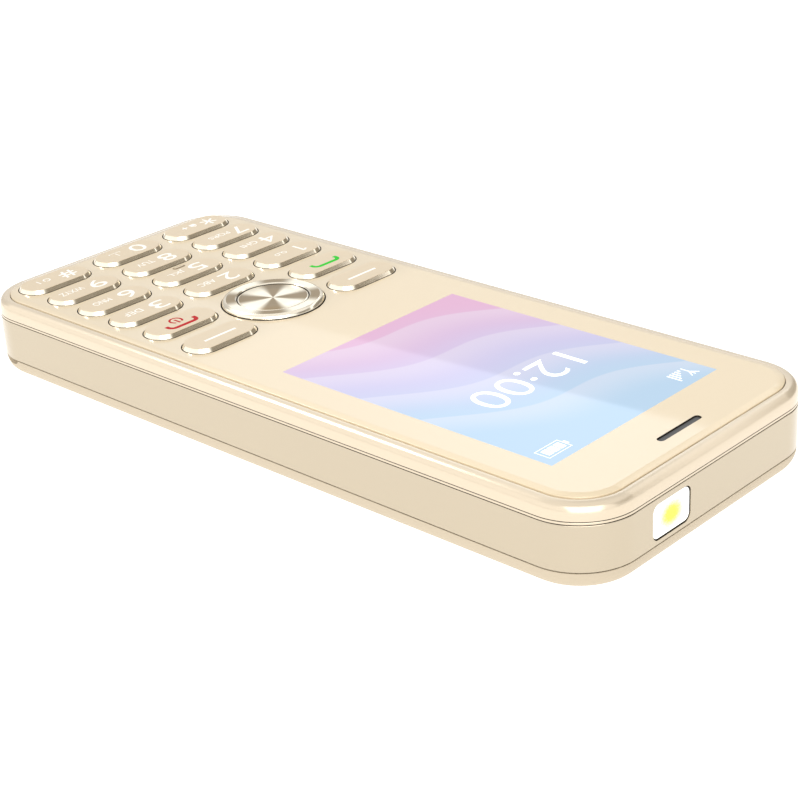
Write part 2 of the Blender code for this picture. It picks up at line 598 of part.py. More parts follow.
def sockets():
    """Charging socket and headset socket at the lower end."""
    steel = material("socket_steel", STEEL, 0.25, metallic=0.9)
    usb = end_plate("usb_port", USB_X, 5.6 * MM, (7.5 * MM, 2.5 * MM), 0.5 * MM, 0.0, -1,
                    (55.0 * MM, 61.9 * MM), steel)
    cut(usb, end_plate("usb_mouth", USB_X, 5.6 * MM, (6.7 * MM, 1.7 * MM), 0.3 * MM, 0.0, -1,
                       (56.0 * MM, 63.0 * MM), cutter=True))
    jack_box = (JACK_X - 3.1 * MM, -60.7 * MM, 3.3 * MM), (JACK_X + 3.1 * MM, -50.2 * MM, 8.1 * MM)
    jack = box("audio_jack", *jack_box, material("jack_black", BLACK, 0.4))
    join(jack, end_plate("jack_collar", JACK_X, JACK_Z, (4.8 * MM, 4.8 * MM), 2.39 * MM, 0.0, -1,
                         (60.0 * MM, 62.0 * MM), cutter=True))
    bore = (2 * JACK_BORE_R, 2 * JACK_BORE_R)
    cut(jack, end_plate("jack_bore", JACK_X, JACK_Z, bore, JACK_BORE_R - 0.01 * MM, 0.0, -1,
                        (51.5 * MM, 63.0 * MM), cutter=True))


def torch():
    """Light guide in the end window and the diode behind it."""
    guide_mat = material("torch_clear", WHITE, 0.08)
    guide = end_plate("torch_lens", TORCH_X, TORCH_Z, TORCH_SIZE, TORCH_RADIUS, -0.15 * MM, 1,
                      (59.8 * MM, 62.3 * MM), guide_mat)
    join(guide, end_plate("torch_flange", TORCH_X, TORCH_Z, TORCH_SIZE, TORCH_RADIUS, 0.45 * MM, 1,
                          (59.9 * MM, 60.9 * MM), cutter=True))
    box("torch_led", (TORCH_X - 1.8 * MM, 56.4 * MM, 4.9 * MM), (TORCH_X + 1.8 * MM, 58.9 * MM, 6.85 * MM),
        material("led_phosphor", (0.9, 0.85, 0.2), 0.4))


def antenna():
    """Antenna plate at the earpiece end of the chassis."""
    box("antenna", (-20.0 * MM, 54.0 * MM, 1.25 * MM), (3.0 * MM, 57.6 * MM, 1.65 * MM),
        material("antenna_copper", (0.7, 0.4, 0.2), 0.3, metallic=0.9))


def screws():
    """Six chassis screws with slotted pan heads, driven in from the back."""
    steel = material("screw_steel", STEEL, 0.25, metallic=1.0)
    for number, centre in enumerate(screw_positions(), start=1):
        profile = [(0.0, 6.2 * MM), (0.65 * MM, 6.2 * MM), (0.65 * MM, 3.0 * MM), (1.35 * MM, 3.0 * MM),
                   (1.35 * MM, 2.4 * MM), (1.1 * MM, 2.15 * MM), (0.0, 2.15 * MM)]
        screw = turned("screw_" + str(number), centre, profile, steel, steps=12)
        slot = box("slot_" + str(number), (centre[0] - 1.0 * MM, centre[1] - 0.15 * MM, 1.5 * MM),
                   (centre[0] + 1.0 * MM, centre[1] + 0.15 * MM, 2.45 * MM), cutter=True)
        cut(screw, slot)


def build():
    clear_scene()
    back_cover()
    mid_frame()
    front_housing()
    faceplate_lens()
    rear_frame()
    keys()
    nav_ring()
    nav_pad()
    ok_button()
    keypad_membrane()
    dome_sheet()
    main_board()
    display()
    earpiece()
    battery()
    battery_contacts()
    card_holders()
    sound_parts()
    sockets()
    torch()
    antenna()
    screws()


build()
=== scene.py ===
import math

import bmesh
import bpy
from mathutils import Euler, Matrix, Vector


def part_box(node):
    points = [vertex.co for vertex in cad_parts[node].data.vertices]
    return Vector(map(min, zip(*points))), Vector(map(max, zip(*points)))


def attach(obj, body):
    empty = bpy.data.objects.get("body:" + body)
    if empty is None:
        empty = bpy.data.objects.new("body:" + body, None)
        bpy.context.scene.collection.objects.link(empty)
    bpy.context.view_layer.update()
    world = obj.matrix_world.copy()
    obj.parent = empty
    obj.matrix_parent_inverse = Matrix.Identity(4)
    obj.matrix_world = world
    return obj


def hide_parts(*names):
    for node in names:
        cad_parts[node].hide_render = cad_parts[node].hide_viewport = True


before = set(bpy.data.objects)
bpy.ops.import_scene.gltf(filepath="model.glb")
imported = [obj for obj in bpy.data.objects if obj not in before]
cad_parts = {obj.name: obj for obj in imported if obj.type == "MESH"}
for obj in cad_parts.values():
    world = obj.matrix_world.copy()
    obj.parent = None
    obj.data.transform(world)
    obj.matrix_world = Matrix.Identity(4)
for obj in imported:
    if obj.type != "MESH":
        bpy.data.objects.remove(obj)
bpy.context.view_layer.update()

MM = 0.001

# ---- places taken from the frame -----------------------------------------------------------
BAND_LOW, BAND_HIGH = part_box("mid_frame")
COVER_LOW, COVER_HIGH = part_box("back_cover")
BEZEL_LOW, BEZEL_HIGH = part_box("front_housing")
LENS_LOW, LENS_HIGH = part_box("faceplate_lens")
HALF_X = BAND_HIGH.x
HALF_Y = BAND_HIGH.y
CORNER = 8.8 * MM
LENS_INSET = HALF_X - LENS_HIGH.x
LENS_TOP = LENS_HIGH.z
LENS_EDGE_BAND = 1.1 * MM
NAV = sum(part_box("ok_button"), Vector()) / 2
SCREEN_SIZE = (36.72 * MM, 48.96 * MM)
SCREEN_CORNER = (-SCREEN_SIZE[0] / 2, 1.15 * MM)
KEY_OPENING = (13.36 * MM, 6.43 * MM)
KEY_GAP = 0.16 * MM
PRINT = 0.012 * MM                # thickness of printed ink
CAMERA_PLACE = Vector((178.0, 179.3, 117.66)) * MM
MIRRORED_CAMERA = Vector((CAMERA_PLACE.x, CAMERA_PLACE.y, 2 * LENS_TOP - CAMERA_PLACE.z))   # in the lens

BODY_STEPS = 24
KEY_STEPS = 12
ROUND_STEPS = 128


# ---- outlines and meshes -------------------------------------------------------------------
def rounded_rect(half_x, half_y, radius, centre=(0.0, 0.0), steps=BODY_STEPS):
    """Counter-clockwise points of a rounded rectangle; repeated points are dropped."""
    points = []
    for quarter, (sx, sy) in enumerate(((1, 1), (-1, 1), (-1, -1), (1, -1))):
        cx = centre[0] + sx * (half_x - radius)
        cy = centre[1] + sy * (half_y - radius)
        for step in range(steps + 1):
            angle = (quarter + step / steps) * math.pi / 2
            point = (cx + radius * math.cos(angle), cy + radius * math.sin(angle))
            if not points or math.dist(point, points[-1]) > 1e-7:
                points.append(point)
    if math.dist(points[0], points[-1]) < 1e-7:
        points.pop()
    return points


def stadium(length, height, centre, grow=0.0, steps=KEY_STEPS):
    half_x = length / 2 + grow
    half_y = height / 2 + grow
    return rounded_rect(half_x, half_y, half_y, centre, steps)


def circle(radius, centre, steps=ROUND_STEPS):
    return [(centre[0] + radius * math.cos(2 * math.pi * i / steps),
             centre[1] + radius * math.sin(2 * math.pi * i / steps)) for i in range(steps)]


def body_outline(inset):
    return rounded_rect(HALF_X - inset, HALF_Y - inset, CORNER - inset)


def shade(mesh, smooth_angle=35):
    """Smooth shading with sharp edges kept, and flat shading on every level face."""
    mesh.shade_smooth()
    mesh.set_sharp_from_angle(angle=math.radians(smooth_angle))
    for polygon in mesh.polygons:
        if abs(polygon.normal.z) > 0.9999:
            polygon.use_smooth = False


def link_mesh(name, bm, materials, smooth_angle=35):
    """A finished bmesh as an object with outward faces, in the scene."""
    bmesh.ops.recalc_face_normals(bm, faces=bm.faces)
    mesh = bpy.data.meshes.new(name)
    bm.to_mesh(mesh)
    bm.free()
    for mat in materials:
        mesh.materials.append(mat)
    shade(mesh, smooth_angle)
    obj = bpy.data.objects.new(name, mesh)
    bpy.context.scene.collection.objects.link(obj)
    return obj


def skin(bm, rings, closed=False, material_index=0):
    """Add a skin over a stack of (outline, z) rings to a bmesh."""
    layers = [[bm.verts.new((x, y, z)) for x, y in outline] for outline, z in rings]
    following = layers[1:] + (layers[:1] if closed else [])
    faces = []
    for lower, upper in zip(layers, following):
        for i, corner in enumerate(lower):
            j = (i + 1) % len(lower)
            faces.append(bm.faces.new((corner, lower[j], upper[j], upper[i])))
    if not closed:
        faces.append(bm.faces.new(layers[0]))
        faces.append(bm.faces.new(layers[-1]))
    for face in faces:
        face.material_index = material_index
    return faces


def plate_mesh(outlines, low, high, edge=0.0):
    """A flat body from 2D outlines as a temporary mesh; an outline inside another is a hole."""
    curve = bpy.data.curves.new("outline", "CURVE")
    curve.dimensions = "2D"
    curve.fill_mode = "BOTH"
    curve.extrude = (high - low) / 2 - edge
    curve.bevel_depth = edge
    curve.bevel_resolution = 2 if edge else 0
    curve.offset = -edge
    for outline in outlines:
        spline = curve.splines.new("POLY")
        spline.points.add(len(outline) - 1)
        for point, (x, y) in zip(spline.points, outline):
            point.co = (x, y, 0.0, 1.0)
        spline.use_cyclic_u = True
    mesh = evaluated_mesh(curve)
    for vertex in mesh.vertices:
        vertex.co.z += (low + high) / 2
    return mesh


def evaluated_mesh(data):
    """The mesh that a curve or text makes."""
    guide = bpy.data.objects.new("guide", data)
    bpy.context.scene.collection.objects.link(guide)
    bpy.context.view_layer.update()
    depsgraph = bpy.context.evaluated_depsgraph_get()
    mesh = bpy.data.meshes.new_from_object(guide.evaluated_get(depsgraph))
    bpy.data.objects.remove(guide, do_unlink=True)
    return mesh


def add_mesh(bm, mesh, material_index=0):
    """Pour a temporary mesh into a bmesh and throw the mesh away."""
    first = len(bm.faces)
    bm.from_mesh(mesh)
    bpy.data.meshes.remove(mesh)
    bmesh.ops.remove_doubles(bm, verts=bm.verts, dist=1e-7)
    bm.faces.ensure_lookup_table()
    for face in bm.faces[first:]:
        face.material_index = material_index


def end_block(bm, x, z, half, radius, y_pair, material_index=0, steps=10):
    """A rounded block that stands in the XZ plane between two depths."""
    outline = rounded_rect(half[0], half[1], radius, steps=steps)
    layers = [[bm.verts.new((x + u, y, z + v)) for u, v in outline] for y in y_pair]
    for i in range(len(outline)):
        j = (i + 1) % len(outline)
        bm.faces.new((layers[0][i], layers[0][j], layers[1][j], layers[1][i])).material_index = material_index
    for layer in layers:
        bm.faces.new(layer).material_index = material_index


def cut(obj, cutter_bm):
    """Subtract a cutter from an object's mesh, once and for all."""
    tool = link_mesh("tool", cutter_bm, [])
    modifier = obj.modifiers.new("cut", "BOOLEAN")
    modifier.operation = "DIFFERENCE"
    modifier.object = tool
    bpy.context.view_layer.update()
    depsgraph = bpy.context.evaluated_depsgraph_get()
    old = obj.data
    obj.data = bpy.data.meshes.new_from_object(obj.evaluated_get(depsgraph))
    obj.modifiers.clear()
    shade(obj.data)
    bpy.data.meshes.remove(old)
    bpy.data.objects.remove(tool, do_unlink=True)


def turned(name, centre, profile, materials, steps=ROUND_STEPS, smooth_angle=35):
    """Turn an (r, z) profile about a vertical axis at centre."""
    bm = bmesh.new()
    rings = [(circle(max(r, 1e-6), (0.0, 0.0), steps), z) for r, z in profile]
    skin(bm, rings, closed=profile[0][0] > 0.0)
    bmesh.ops.remove_doubles(bm, verts=bm.verts, dist=3e-6)
    obj = link_mesh(name, bm, materials, smooth_angle)
    obj.location = (centre[0], centre[1], 0.0)
    return obj


def settle(obj, body, replaces=()):
    """Put a finished piece on its body and hide the CAD nodes it stands for."""
    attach(obj, body)
    if replaces:
        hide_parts(*replaces)
    return obj


# ---- node graphs ---------------------------------------------------------------------------
def srgb(red, green, blue):
    """Linear colour from 0-255 display values."""
    def linear(value):
        value /= 255
        return value / 12.92 if value <= 0.04045 else ((value + 0.055) / 1.055) ** 2.4
    return (linear(red), linear(green), linear(blue), 1.0)


class Field:
    """A number in a node graph; arithmetic on it adds Math nodes."""

    def __init__(self, graph, socket):
        self.graph = graph
        self.socket = socket

    def math(self, operation, other=0.0, swap=False):
        node = self.graph.tree.nodes.new("ShaderNodeMath")
        node.operation = operation
        self.graph.feed(node.inputs[1 if swap else 0], self)
        self.graph.feed(node.inputs[0 if swap else 1], other)
        return Field(self.graph, node.outputs[0])

    def __add__(self, other):
        return self.math("ADD", other)

    def __radd__(self, other):
        return self.math("ADD", other)

    def __sub__(self, other):
        return self.math("SUBTRACT", other)

    def __rsub__(self, other):
        return self.math("SUBTRACT", other, swap=True)

    def __mul__(self, other):
        return self.math("MULTIPLY", other)

    def __rmul__(self, other):
        return self.math("MULTIPLY", other)

    def __truediv__(self, other):
        return self.math("DIVIDE", other)

    def step(self, low, high):
        """0 below low and 1 above high, smooth between; low may be the higher one."""
        node = self.graph.tree.nodes.new("ShaderNodeMapRange")
        node.interpolation_type = "SMOOTHSTEP"
        flip = low > high
        self.graph.feed(node.inputs["Value"], self)
        node.inputs["From Min"].default_value = min(low, high)
        node.inputs["From Max"].default_value = max(low, high)
        node.inputs["To Min"].default_value = 1.0 if flip else 0.0
        node.inputs["To Max"].default_value = 0.0 if flip else 1.0
        return Field(self.graph, node.outputs[0])


class Graph:
    """A node tree with helpers that keep the materials below short."""

    def __init__(self, tree):
        self.tree = tree

    def feed(self, target, value):
        if isinstance(value, Field):
            self.tree.links.new(value.socket, target)
        elif isinstance(value, bpy.types.NodeSocket):
            self.tree.links.new(value, target)
        else:
            target.default_value = value

    def node(self, kind, output=0, props=(), **inputs):
        node = self.tree.nodes.new("ShaderNode" + kind)
        for key, value in dict(props).items():
            setattr(node, key, value)
        for key, value in inputs.items():
            self.feed(node.inputs[key.replace("_", " ")], value)
        return Field(self, node.outputs[output])

    def place(self, source="Object"):
        """x, y and z of the surface point, in millimetres."""
        coordinates = self.tree.nodes.new("ShaderNodeTexCoord")
        split = self.tree.nodes.new("ShaderNodeSeparateXYZ")
        self.tree.links.new(coordinates.outputs[source], split.inputs[0])
        scale = 1 / MM if source == "Object" else 1.0
        return [Field(self, socket) * scale for socket in split.outputs]

    def noise(self, scale, detail=3.0, rough=0.5, vector=None):
        """Noise from 0 to 1; scale is in cycles per metre."""
        node = self.tree.nodes.new("ShaderNodeTexNoise")
        node.inputs["Scale"].default_value = scale
        node.inputs["Detail"].default_value = detail
        node.inputs["Roughness"].default_value = rough
        if vector is None:
            coordinates = self.tree.nodes.new("ShaderNodeTexCoord")
            vector = coordinates.outputs["Object"]
        self.feed(node.inputs["Vector"], vector)
        return Field(self, node.outputs["Fac"])

    def vector(self, x, y, z):
        node = self.tree.nodes.new("ShaderNodeCombineXYZ")
        for target, value in zip(node.inputs, (x, y, z)):
            self.feed(target, value)
        return node.outputs[0]

    def mix(self, factor, first, second):
        """Colour mix: first where factor is 0, second where it is 1."""
        node = self.tree.nodes.new("ShaderNodeMix")
        node.data_type = "RGBA"
        sockets = {s.identifier: s for s in node.inputs}
        self.feed(sockets["Factor_Float"], factor)
        self.feed(sockets["A_Color"], first)
        self.feed(sockets["B_Color"], second)
        return next(s for s in node.outputs if s.identifier == "Result_Color")

    def bump(self, height, strength, distance=0.0001):
        return self.node("Bump", Height=height, Strength=strength, Distance=distance).socket


def new_material(name, **shader_values):
    """A Principled material; returns it with its graph and shader."""
    mat = bpy.data.materials.new(name)
    mat.use_nodes = True
    shader = mat.node_tree.nodes["Principled BSDF"]
    for key, value in shader_values.items():
        shader.inputs[key.replace("_", " ")].default_value = value
    return mat, Graph(mat.node_tree), shader


# ---- materials -----------------------------------------------------------------------------
def lacquer(name, colour, roughness, metallic, coat, flake=0.03, painted_keypad_shade=0.0, **more):
    """Pearl lacquer with fine flake under a clear coat; painted_keypad_shade darkens its colour towards the keypad
    end, a painted shade.
    """
    mat, graph, shader = new_material(name, Roughness=roughness, Metallic=metallic,
                                      Coat_Weight=coat, Coat_Roughness=0.03, **more)
    flakes = graph.noise(9000.0, 2.0)
    clouds = graph.noise(60.0, 2.0)
    dark = tuple(c * (1 - 2 * flake) for c in colour[:3]) + (1.0,)
    light = tuple(min(1.0, c * (1 + flake)) for c in colour[:3]) + (1.0,)
    shade = graph.mix(flakes * 0.7 + clouds * 0.3, dark, light)
    # Painted shade: the colour darkens towards the keypad end of the lens.
    if painted_keypad_shade:
        y = graph.place()[1]
        shade = graph.mix(y.step(-9.0, -16.0) * painted_keypad_shade, shade, (0.0, 0.0, 0.0, 1.0))
    graph.feed(shader.inputs["Base Color"], shade)
    graph.feed(shader.inputs["Roughness"], flakes * 0.06 + (roughness - 0.03))
    graph.feed(shader.inputs["Normal"], graph.bump(flakes, 0.02))
    return mat


def moulded(name, colour, roughness, grain=2500.0, depth=0.15, spread=0.2, **more):
    """Moulded plastic, rubber or printed ink with a fine grain."""
    mat, graph, shader = new_material(name, Roughness=roughness, **more)
    texture = graph.noise(grain, 4.0, 0.6)
    dark = tuple(c * (1 - spread) for c in colour[:3]) + (1.0,)
    graph.feed(shader.inputs["Base Color"], graph.mix(texture, dark, colour))
    graph.feed(shader.inputs["Normal"], graph.bump(texture, depth, 0.00005))
    return mat


def plated(name, colour, roughness, streak=(400.0, 9000.0, 400.0)):
    """Rolled or plated metal with a directional grain."""
    mat, graph, shader = new_material(name, Metallic=1.0, Roughness=roughness)
    x, y, z = graph.place()
    grain = graph.noise(1.0, 3.0, 0.6, graph.vector(*(axis * (s * MM) for axis, s in zip((x, y, z), streak))))
    dark = tuple(c * 0.75 for c in colour[:3]) + (1.0,)
    graph.feed(shader.inputs["Base Color"], graph.mix(grain, dark, colour))
    graph.feed(shader.inputs["Roughness"], grain * 0.15 + (roughness - 0.05))
    graph.feed(shader.inputs["Normal"], graph.bump(grain, 0.05, 0.00003))
    return mat


def turned_metal(name):
    """Face-turned gold: fine rings, and painted highlight fans: four bright and four dark wedges painted into the
    colour by angle, standing in for the light that turning marks reflect.
    """
    mat, graph, shader = new_material(name, Metallic=1.0, Roughness=0.3)
    x, y, z = graph.place()
    radius = (x * x + y * y).math("SQRT")
    angle = y.math("ARCTAN2", x)
    # Painted highlight and shade: bright wedges towards plus and minus x and y, dark wedges between them.
    wave = (angle * 4.0).math("COSINE") * 0.5 + 0.5
    painted_highlight_fans = (wave + (radius - 5.7).step(-0.1, 0.1) * 0.05).step(0.12, 0.84)
    rings = graph.noise(1.0, 4.0, 0.7, graph.vector(radius * 9.0, 0.0, 0.0))
    shade = graph.mix(painted_highlight_fans, srgb(136, 117, 88), srgb(255, 248, 230))
    graph.feed(shader.inputs["Base Color"], graph.mix(rings * 0.25, shade, srgb(196, 178, 148)))
    graph.feed(shader.inputs["Roughness"], rings * 0.15 + 0.22)
    graph.feed(shader.inputs["Normal"], graph.bump(rings, 0.12, 0.00004))
    return mat


def screen_picture():
    """Lit wallpaper: a plain diagonal fade from pink to pale blue, crossed by four soft waves."""
    mat, graph, shader = new_material("screen_picture", Roughness=0.35, Specular_IOR_Level=0.0,
                                      Coat_Weight=0.8, Coat_Roughness=0.02)
    x, y, z = graph.place()
    across = y * 0.8 + x * 0.35 + (x * 0.19).math("SINE") * 1.8
    colour = graph.mix(across.step(4.0, 24.0), srgb(238, 184, 218), srgb(214, 206, 242))
    colour = graph.mix(across.step(20.0, 38.0), colour, srgb(189, 220, 245))
    for crest in (8.0, 17.0, 26.0, 35.0):
        wave = across.step(crest, crest + 0.4) * across.step(crest + 7.0, crest + 0.4)
        colour = graph.mix(wave * 0.35, colour, srgb(246, 242, 252))
    graph.feed(shader.inputs["Base Color"], (0.02, 0.02, 0.03, 1.0))
    graph.feed(shader.inputs["Emission Color"], colour)
    shader.inputs["Emission Strength"].default_value = 0.93
    return mat


def glowing(name, colour, strength):
    """Lit print on the screen."""
    mat, graph, shader = new_material(name, Roughness=0.4)
    fade = graph.noise(300.0, 1.0) * 0.04 + 0.96
    dark = tuple(c * 0.9 for c in colour[:3]) + (1.0,)
    graph.feed(shader.inputs["Base Color"], graph.mix(fade, dark, colour))
    graph.feed(shader.inputs["Emission Color"], graph.mix(fade, dark, colour))
    shader.inputs["Emission Strength"].default_value = strength
    return mat


def torch_window():
    """Milky light guide, white with the diode's yellow glow in its middle."""
    mat, graph, shader = new_material("torch_window", Roughness=0.25, Coat_Weight=0.6, Coat_Roughness=0.03)
    x, y, z = graph.place()
    distance = ((x / 3.1) * (x / 3.1) + (z / 2.3) * (z / 2.3)).math("SQRT")
    speckle = graph.noise(6000.0, 1.0) - 0.5
    glow = (distance + speckle * 0.4).step(1.12, 0.3)
    colour = graph.mix(glow, srgb(250, 250, 245), srgb(240, 240, 4))
    graph.feed(shader.inputs["Base Color"], colour)
    graph.feed(shader.inputs["Emission Color"], colour)
    shader.inputs["Emission Strength"].default_value = 0.45
    return mat


MATERIALS = {
    "bezel": lacquer("bezel_lacquer", srgb(215, 199, 174), 0.18, 0.4, 0.25, 0.015),
    "lens": lacquer("lens_print", srgb(229, 209, 173), 0.3, 0.1, 0.8, 0.012, 0.1),
    "band": lacquer("band_lacquer", srgb(191, 178, 156), 0.2, 0.9, 0.0, 0.02),
    "cover": lacquer("cover_lacquer", srgb(195, 180, 155), 0.6, 0.05, 0.0, 0.02),
    "key": lacquer("key_lacquer", srgb(216, 196, 163), 0.32, 0.15, 0.3, 0.015),
    "key_edge": plated("key_edge_plating", srgb(250, 238, 216), 0.14),
    # The tactile bar's sides get a dark brown plating colour, a painted shade on the slope.
    "bar_edge_painted_shade": plated("bar_edge_plating", srgb(150, 132, 104), 0.45),
    "turned": turned_metal("turned_gold"),
    "rim": plated("rim_plating", srgb(250, 240, 220), 0.14),
    # deck_shadow is painted shade: a dark brown for the deck under the lens and for walls down in the gaps and
    # seams.
    "deck": moulded("deck_shadow", srgb(46, 38, 28), 0.6),
    "ink": moulded("legend_ink", srgb(255, 252, 244), 0.45, 4000.0, 0.03, 0.03),
    "green_ink": moulded("call_ink", srgb(20, 200, 30), 0.5, 4000.0, 0.03, 0.06, Specular_IOR_Level=0.15),
    "red_ink": moulded("end_ink", srgb(190, 0, 10), 0.5, 4000.0, 0.03, 0.06, Specular_IOR_Level=0.15),
    "picture": screen_picture(),
    "clock": glowing("clock_white", srgb(252, 254, 255), 0.78),
    "torch": torch_window(),
    "mesh": moulded("grille_mesh", srgb(80, 80, 80), 0.5),
    "black": moulded("moulded_black", srgb(34, 34, 36), 0.5),
    "steel": plated("plated_steel", srgb(196, 196, 194), 0.25),
    "rubber": moulded("silicone", srgb(178, 176, 170), 0.6),
    "board": moulded("solder_mask", srgb(26, 92, 56), 0.35),
    "copper": plated("copper_flex", srgb(206, 142, 96), 0.3),
    "wrap": moulded("battery_wrap", srgb(52, 56, 62), 0.35),
}


# ---- shells --------------------------------------------------------------------------------
KEYS = [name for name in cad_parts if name.startswith("key_")]


def middle(node):
    low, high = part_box(node)
    return (low + high) / 2


def key_outlines(grow=0.0):
    return [stadium(*KEY_OPENING, middle(name).xy, grow) for name in KEYS]


def face_openings(grow=0.0):
    """Key, ring and earpiece openings in the face."""
    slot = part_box("earpiece_grille")
    size = slot[1] - slot[0]
    holes = key_outlines(grow)
    holes.append(circle(8.26 * MM + grow, NAV.xy))
    holes.append(stadium(size.x + 0.24 * MM, size.y + 0.24 * MM, middle("earpiece_grille").xy, grow))
    return holes


def make_bezel():
    """Glossy shoulder with a full section, a fine lip along its lower edge, and the deck under the lens."""
    low, top = BAND_HIGH.z + 0.12 * MM, LENS_TOP - 0.3 * MM
    inset = LENS_INSET - 0.08 * MM
    lip, groove = 0.34 * MM, 0.13 * MM
    start = low + lip + groove
    rings = [(body_outline(inset), 11.0 * MM), (body_outline(inset), top - 0.06 * MM),
             (body_outline(inset - 0.05 * MM), top)]
    steps = 20
    fullness = 2 / 3.4
    for step in range(1, steps + 1):
        angle = step / steps * math.pi / 2
        rings.append((body_outline((inset - 0.05 * MM) * (1 - math.sin(angle) ** fullness)),
                      start + (top - start) * max(0.0, math.cos(angle)) ** fullness))
    rings += [(body_outline(0.25 * MM), start - 0.01 * MM), (body_outline(0.25 * MM), start - groove),
              (body_outline(0.03 * MM), low + lip), (body_outline(0.0), low + lip - 0.06 * MM),
              (body_outline(0.0), low + 0.05 * MM), (body_outline(0.05 * MM), low),
              (body_outline(1.35 * MM), low), (body_outline(1.35 * MM), 8.5 * MM),
              (body_outline(2.1 * MM), 8.5 * MM), (body_outline(2.1 * MM), 11.0 * MM)]
    bm = bmesh.new()
    faces = skin(bm, rings, closed=True)
    sides = len(rings[0][0])
    # Painted shade: the deck's dark brown goes on the inner wall at the lens seam, in the groove above the lip, on
    # the top of the lip and on the underside.
    groove_row = steps + 2
    for row in (0, groove_row, groove_row + 1, groove_row + 2, *range(groove_row + 6, len(rings))):
        for face in faces[row * sides:(row + 1) * sides]:
            face.material_index = 1
    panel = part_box("display_panel")
    window = rounded_rect(panel[1].x + 0.3 * MM, (panel[1].y - panel[0].y) / 2 + 0.3 * MM, 0.5 * MM,
                          middle("display_panel").xy, 4)
    deck = [body_outline(2.0 * MM)] + face_openings(0.08 * MM) + [window]
    add_mesh(bm, plate_mesh(deck, 10.5 * MM, 11.4 * MM), 1)
    bezel = link_mesh("front_bezel", bm, [MATERIALS["bezel"], MATERIALS["deck"]])
    relief = bmesh.new()
    torch = middle("torch_lens")
    end_block(relief, torch.x, 8.6 * MM, (5.0 * MM, 0.6 * MM), 0.1 * MM, (59.5 * MM, 61.3 * MM), steps=2)
    cut(bezel, relief)
    settle(bezel, "root", ["front_housing"])


def make_faceplate():
    """Lens with a softly rounded edge band, openings and a window for the screen."""
    face_inset = LENS_INSET + LENS_EDGE_BAND
    low = LENS_LOW.z
    drop = 0.1 * MM
    rim = LENS_TOP - drop
    rings = [(body_outline(face_inset), low), (body_outline(LENS_INSET), low),
             (body_outline(LENS_INSET), rim - 0.06 * MM),
             (body_outline(LENS_INSET + 0.02 * MM), rim - 0.02 * MM),
             (body_outline(LENS_INSET + 0.07 * MM), rim), (body_outline(face_inset), LENS_TOP)]
    bm = bmesh.new()
    add_mesh(bm, plate_mesh([body_outline(face_inset)] + face_openings(), low, LENS_TOP))
    bm.normal_update()
    # Painted shade: the lens's side walls and the walls of its openings take the deck's dark brown, standing in for
    # the shade in the gaps.
    for face in bm.faces:
        if abs(face.normal.z) < 0.1:
            face.material_index = 1
    skin(bm, rings, closed=True)
    lens = link_mesh("faceplate", bm, [MATERIALS["lens"], MATERIALS["deck"]], 2)
    window = bmesh.new()
    x, y = SCREEN_CORNER
    skin(window, [([(x, y), (-x, y), (-x, y + SCREEN_SIZE[1]), (x, y + SCREEN_SIZE[1])], z)
                  for z in (low - MM, LENS_TOP + MM)])
    cut(lens, window)
    settle(lens, "root", ["faceplate_lens"])


def make_screen():
    """Lit picture flush with the lens, with its clock, signal and battery signs."""
    width, height = SCREEN_SIZE
    bm = bmesh.new()
    skin(bm, [([(0.0, 0.0), (width, 0.0), (width, height), (0.0, height)], z)
              for z in (LENS_LOW.z + 0.1 * MM, LENS_TOP)])
    picture = link_mesh("screen_picture", bm, [MATERIALS["picture"]])
    picture.location = (*SCREEN_CORNER, 0.0)
    settle(picture, "root")
    signs = bmesh.new()
    x0, y0 = SCREEN_CORNER
    z = LENS_TOP + PRINT
    write(signs, "12:00", 6.0 * MM, (x0 + width / 2, y0 + 30.0 * MM), z, 20.0 * MM, -0.01)
    for bar in range(5):
        left = x0 + (3.5 + 0.6 * bar) * MM
        rect(signs, (left, y0 + 44.8 * MM), (left + 0.2 * MM, y0 + (45.3 + 0.5 * bar) * MM), z)
    mast = (x0 + 2.8 * MM, y0 + 46.2 * MM)
    stroke(signs, [(mast[0], mast[1] - 1.4 * MM), (mast[0], mast[1] + 1.2 * MM)], 0.14 * MM, z)
    for side in (-1, 1):
        stroke(signs, [(mast[0] + side * 0.85 * MM, mast[1] + 1.2 * MM), mast], 0.14 * MM, z)
    left, low, right, high = (x0 + 30.6 * MM, y0 + 44.9 * MM, x0 + 35.2 * MM, y0 + 47.4 * MM)
    frame_line = [(left, low), (right, low), (right, high), (left, high)]
    stroke(signs, frame_line, 0.12 * MM, z, cyclic=True)
    rect(signs, (left - 0.45 * MM, low + 0.8 * MM), (left - 0.05 * MM, high - 0.8 * MM), z)
    for cell in range(3):
        start = left + (0.5 + 1.25 * cell) * MM
        rect(signs, (start, low + 0.5 * MM), (start + 1.0 * MM, high - 0.5 * MM), z)
    settle(link_mesh("screen_signs", signs, [MATERIALS["clock"]]), "root")


